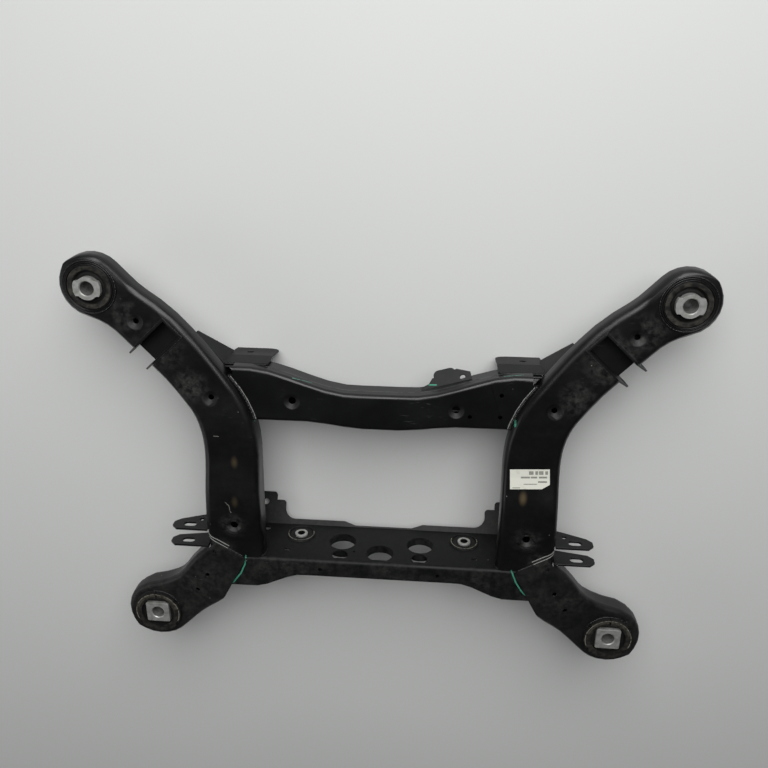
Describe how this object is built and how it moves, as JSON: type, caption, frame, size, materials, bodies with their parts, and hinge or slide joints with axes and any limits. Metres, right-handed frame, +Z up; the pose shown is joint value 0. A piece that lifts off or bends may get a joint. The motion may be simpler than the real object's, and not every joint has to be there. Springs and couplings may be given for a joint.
{
  "type": "subframe",
  "caption": "Welded pressed-steel rear axle subframe with splayed arms, rubber body-mount bushes, pierced rear crossmember, link pockets and slotted ears.",
  "frame": {"origin": "under the middle of the outer box, on the ground plane that the feet stand on", "axes": "+X to the vehicle's right, +Y to its front, +Z up along the body bolts"},
  "size_m": [1.002, 0.7158, 0.1587],
  "materials": {
    "black_paint": "satin black dip paint",
    "core_steel": "turned bare steel",
    "bush_rubber": "dusty moulded rubber",
    "sleeve_steel": "dull black coated steel"
  },
  "bodies": {
    "root": {"left_rail_upper_shell": "black_paint", "right_rail_upper_shell": "black_paint", "left_rail_lower_shell": "black_paint", "right_rail_lower_shell": "black_paint", "front_crossmember_upper_shell": "black_paint", "front_crossmember_lower_shell": "black_paint", "rear_crossmember_panel": "black_paint", "rear_crossmember_back_panel": "black_paint", "left_rear_arm_upper_shell": "black_paint", "right_rear_arm_upper_shell": "black_paint", "left_rear_arm_lower_shell": "black_paint", "right_rear_arm_lower_shell": "black_paint", "left_front_bush_housing": "black_paint", "right_front_bush_housing": "black_paint", "left_rear_bush_housing": "black_paint", "right_rear_bush_housing": "black_paint", "left_front_bush_sleeve": "sleeve_steel", "right_front_bush_sleeve": "sleeve_steel", "left_rear_bush_sleeve": "sleeve_steel", "right_rear_bush_sleeve": "sleeve_steel", "left_front_bush_rubber": "bush_rubber", "right_front_bush_rubber": "bush_rubber", "left_rear_bush_rubber": "bush_rubber", "right_rear_bush_rubber": "bush_rubber", "left_front_bush_core": "core_steel", "right_front_bush_core": "core_steel", "left_rear_bush_core": "core_steel", "right_rear_bush_core": "core_steel", "left_diff_bush_sleeve": "sleeve_steel", "right_diff_bush_sleeve": "sleeve_steel", "left_diff_bush_rubber": "bush_rubber", "right_diff_bush_rubber": "bush_rubber", "left_diff_bush_core": "core_steel", "right_diff_bush_core": "core_steel", "left_upper_link_pocket": "black_paint", "right_upper_link_pocket": "black_paint", "left_front_ear": "black_paint", "right_front_ear": "black_paint", "left_rear_ear": "black_paint", "right_rear_ear": "black_paint", "left_front_tab": "black_paint", "right_front_tab": "black_paint", "lobed_bracket": "black_paint"}
  },
  "joints": []
}
